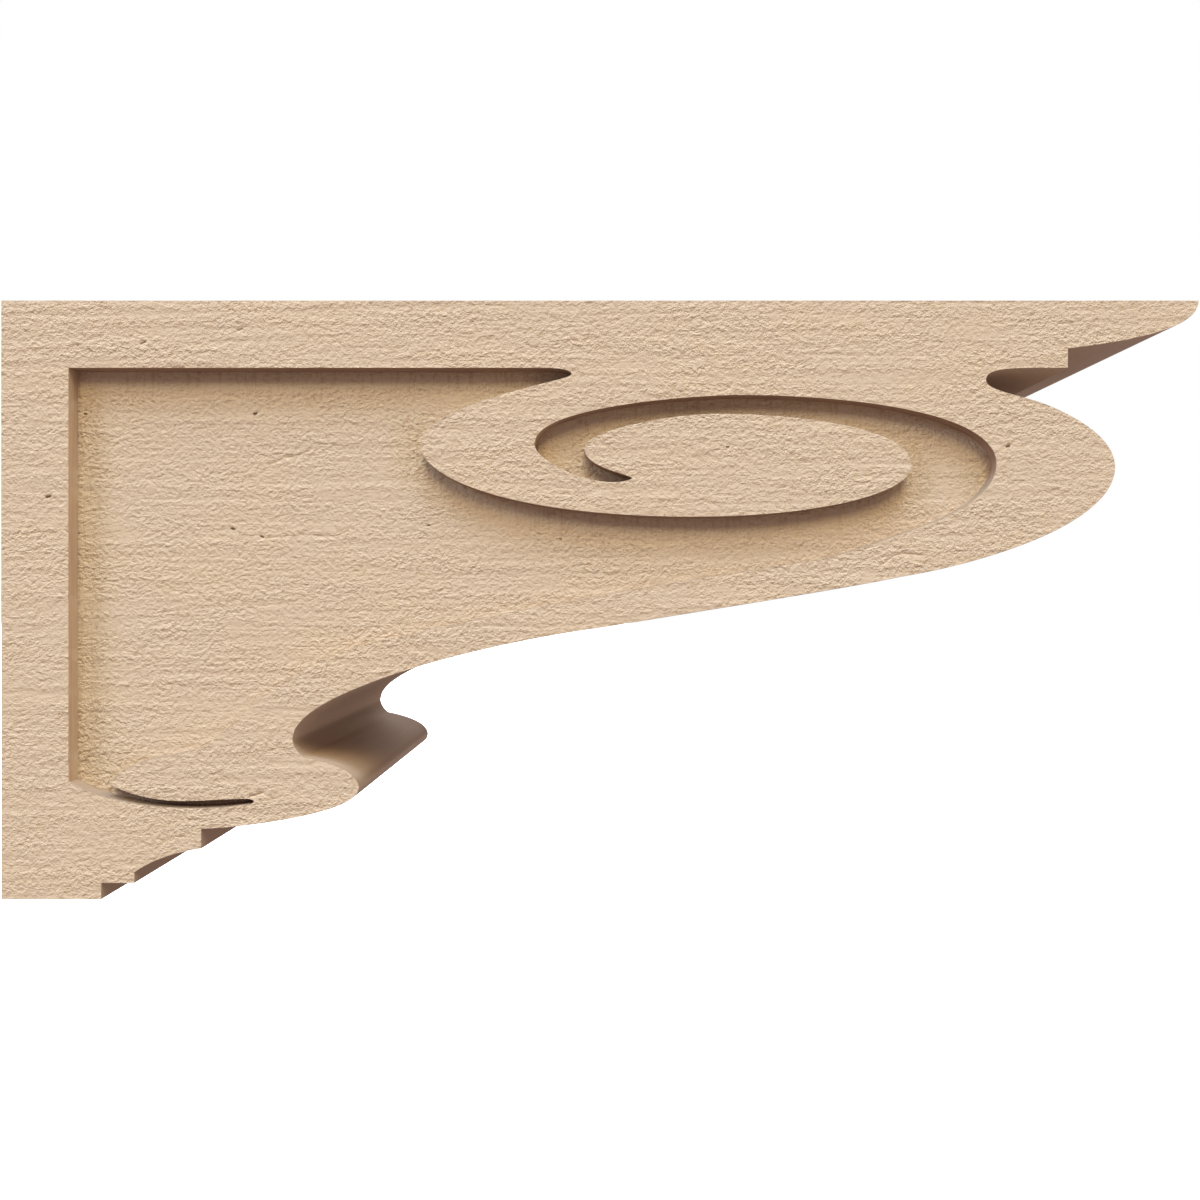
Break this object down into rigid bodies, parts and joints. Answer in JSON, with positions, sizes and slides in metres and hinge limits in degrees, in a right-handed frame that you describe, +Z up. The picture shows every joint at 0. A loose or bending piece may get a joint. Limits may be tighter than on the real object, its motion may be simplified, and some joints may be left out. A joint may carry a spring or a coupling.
{
  "type": "scroll corbel",
  "caption": "Scroll-sided corbel built in against a wall, with a level top that carries an eave, beam or shelf and sunk fields, a volute and a ribbon on its sides.",
  "frame": {"origin": "middle of the flat face that is built in against the wall", "axes": "+X out of the wall along the corbel, +Y across its width, +Z up"},
  "size_m": [0.6096, 0.1524, 0.3048],
  "materials": {
    "primed_casting": "tan primer on a rough-sawn grain, matt"
  },
  "bodies": {
    "root": {"corbel": "primed_casting"}
  },
  "joints": []
}
